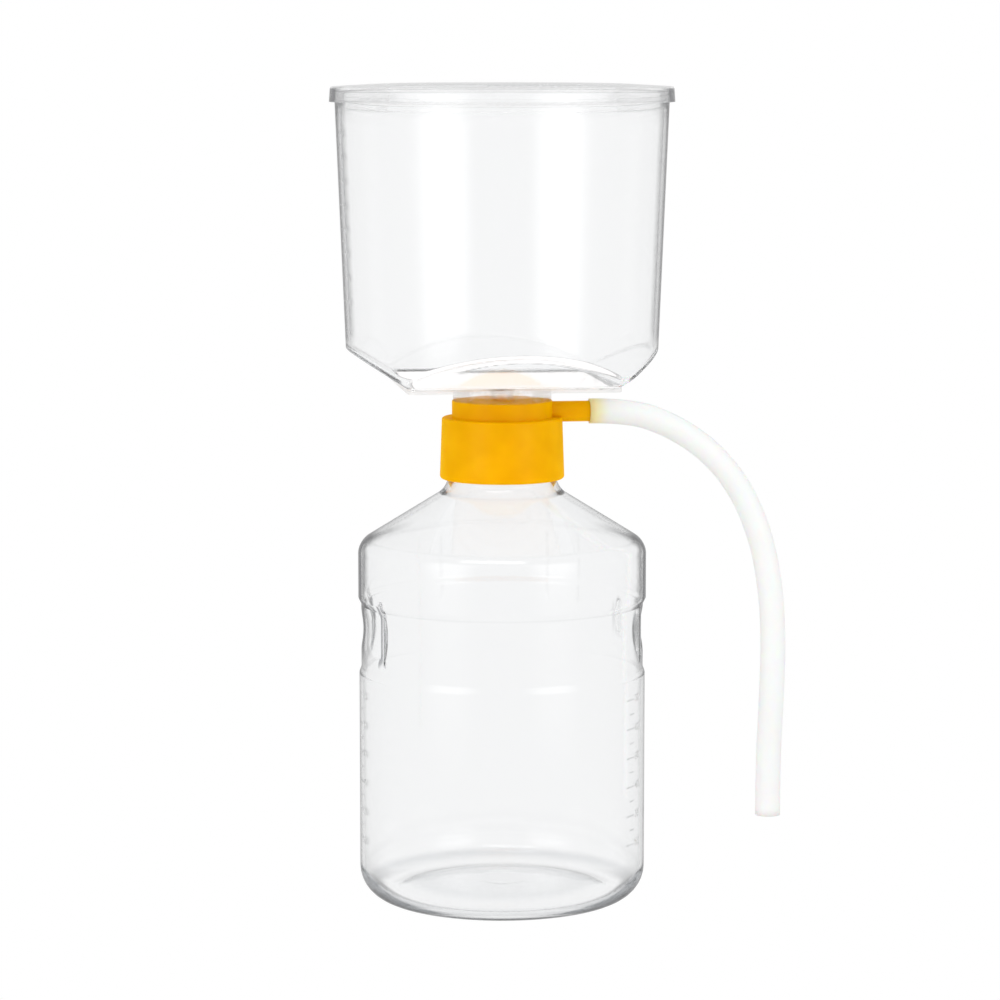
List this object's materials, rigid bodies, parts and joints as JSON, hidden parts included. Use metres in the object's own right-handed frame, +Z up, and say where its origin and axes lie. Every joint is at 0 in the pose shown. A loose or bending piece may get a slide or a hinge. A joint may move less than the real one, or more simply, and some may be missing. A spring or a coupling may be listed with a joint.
{
  "type": "vacuum filtration unit",
  "caption": "Clear bottle-top vacuum filter: round funnel with a square membrane foot and lid, amber threaded adapter with side arm and tube, on a gripped receiver bottle.",
  "frame": {"origin": "middle of the ring that the bottle stands on, on the bottle's axis", "axes": "+Z up along the bottle's axis, +X along the side arm"},
  "size_m": [0.1743, 0.1306, 0.3123],
  "materials": {
    "bottle_clear": "clear glossy polystyrene",
    "funnel_clear": "clear glossy polystyrene",
    "lid_clear": "clear glossy polystyrene",
    "adapter_amber": "satin amber polypropylene",
    "membrane_white": "matt white cellulose membrane",
    "gasket_rubber": "matt pale elastomer",
    "tube_silicone": "translucent milky silicone"
  },
  "bodies": {
    "bottle": {"receiver_bottle": "bottle_clear"},
    "seal": {"neck_gasket": "gasket_rubber"},
    "head": {"vacuum_adapter": "adapter_amber", "drain_plate": "funnel_clear", "membrane": "membrane_white", "funnel": "funnel_clear", "tubing": "tube_silicone"},
    "lid": {"lid": "lid_clear"}
  },
  "joints": [
    {"name": "neck_rise", "type": "slide", "parent": "bottle", "child": "seal", "axis": [0, 0, 1], "range_m": [0, 0.0061]},
    {"name": "neck_turn", "type": "hinge", "parent": "seal", "child": "head", "pos_m": [0, 0, 0.175], "axis": [0, 0, 1], "range_deg": [0, 540]},
    {"name": "lid_lift", "type": "slide", "parent": "head", "child": "lid", "axis": [0, 0, 1], "range_m": [0, 0.03]}
  ],
  "couplings": [
    {"joint": "neck_rise", "follows": "neck_turn", "m_per_rad": 0.00063662}
  ]
}
